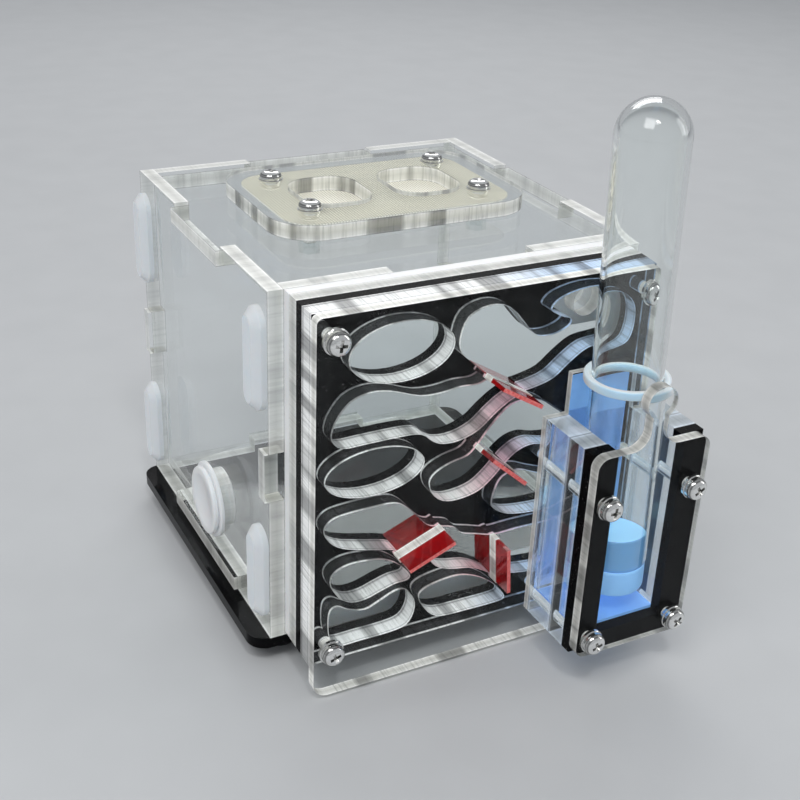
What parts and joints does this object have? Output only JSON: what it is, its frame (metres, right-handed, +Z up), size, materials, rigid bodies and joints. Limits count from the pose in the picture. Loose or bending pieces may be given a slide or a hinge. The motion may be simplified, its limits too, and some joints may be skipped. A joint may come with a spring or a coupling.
{
  "type": "ant habitat",
  "caption": "Clear acrylic ant habitat: finger-jointed arena box, layered nest with chambers and red sliding gates, and an upturned tube feeder.",
  "frame": {"origin": "on the table under the feet, at the middle of the footprint's bounding box", "axes": "+Z up along the water tube, -Y towards the nest and feeder (front), +X to the right when the nest is faced"},
  "size_m": [0.109, 0.1404, 0.1454],
  "materials": {
    "clear_acrylic": "polished clear sheet with laser-cut edges",
    "black_acrylic": "polished black sheet",
    "red_acrylic": "polished transparent red sheet",
    "white_silicone": "matte translucent white",
    "black_rubber": "matte",
    "blue_film": "satin",
    "blue_stopper": "matte",
    "screw_steel": "polished",
    "vent_mesh": "fine woven wire",
    "tube_glass": "clear"
  },
  "bodies": {
    "habitat": {"base_plate": "black_acrylic", "base_feet": "black_rubber", "bottom_panel": "clear_acrylic", "top_panel": "clear_acrylic", "left_panel": "clear_acrylic", "right_panel": "clear_acrylic", "back_panel": "clear_acrylic", "front_panel": "clear_acrylic", "vent_plate": "clear_acrylic", "vent_mesh": "vent_mesh", "vent_screws": "screw_steel", "vent_nuts": "screw_steel", "nest_gasket": "white_silicone", "nest_back_sheet": "clear_acrylic", "nest_black_sheet": "black_acrylic", "nest_block": "clear_acrylic", "nest_cover": "clear_acrylic", "nest_screws": "screw_steel", "feeder_back_plate": "clear_acrylic", "feeder_blue_sheet": "blue_film", "feeder_rear_body": "clear_acrylic", "feeder_middle_body": "clear_acrylic", "feeder_black_frame": "black_acrylic", "feeder_floor": "blue_film", "feeder_front_plate": "clear_acrylic", "feeder_screws": "screw_steel", "side_pad_1": "white_silicone", "side_pad_2": "white_silicone", "side_pad_3": "white_silicone", "side_pad_4": "white_silicone"},
    "gate_1_body": {"gate_1": "red_acrylic"},
    "gate_2_body": {"gate_2": "red_acrylic"},
    "gate_3_body": {"gate_3": "red_acrylic"},
    "gate_4_body": {"gate_4": "red_acrylic"},
    "feeder_tube": {"water_tube": "tube_glass", "tube_ring": "white_silicone", "tube_stopper": "blue_stopper"},
    "plug_body": {"port_plug": "white_silicone"}
  },
  "joints": [
    {"name": "gate_1_slide", "type": "slide", "parent": "habitat", "child": "gate_1_body", "axis": [0, -1, 0], "range_m": [0, 0.008]},
    {"name": "gate_2_slide", "type": "slide", "parent": "habitat", "child": "gate_2_body", "axis": [0, -1, 0], "range_m": [0, 0.008]},
    {"name": "gate_3_slide", "type": "slide", "parent": "habitat", "child": "gate_3_body", "axis": [0, -1, 0], "range_m": [0, 0.008]},
    {"name": "gate_4_slide", "type": "slide", "parent": "habitat", "child": "gate_4_body", "axis": [0, -1, 0], "range_m": [0, 0.008]},
    {"name": "feeder_tube_lift", "type": "slide", "parent": "habitat", "child": "feeder_tube", "axis": [-0.0297, 0, 0.9996], "range_m": [0, 0.06]},
    {"name": "port_plug_pull", "type": "slide", "parent": "habitat", "child": "plug_body", "axis": [-1, 0, 0], "range_m": [0, 0.01]}
  ]
}
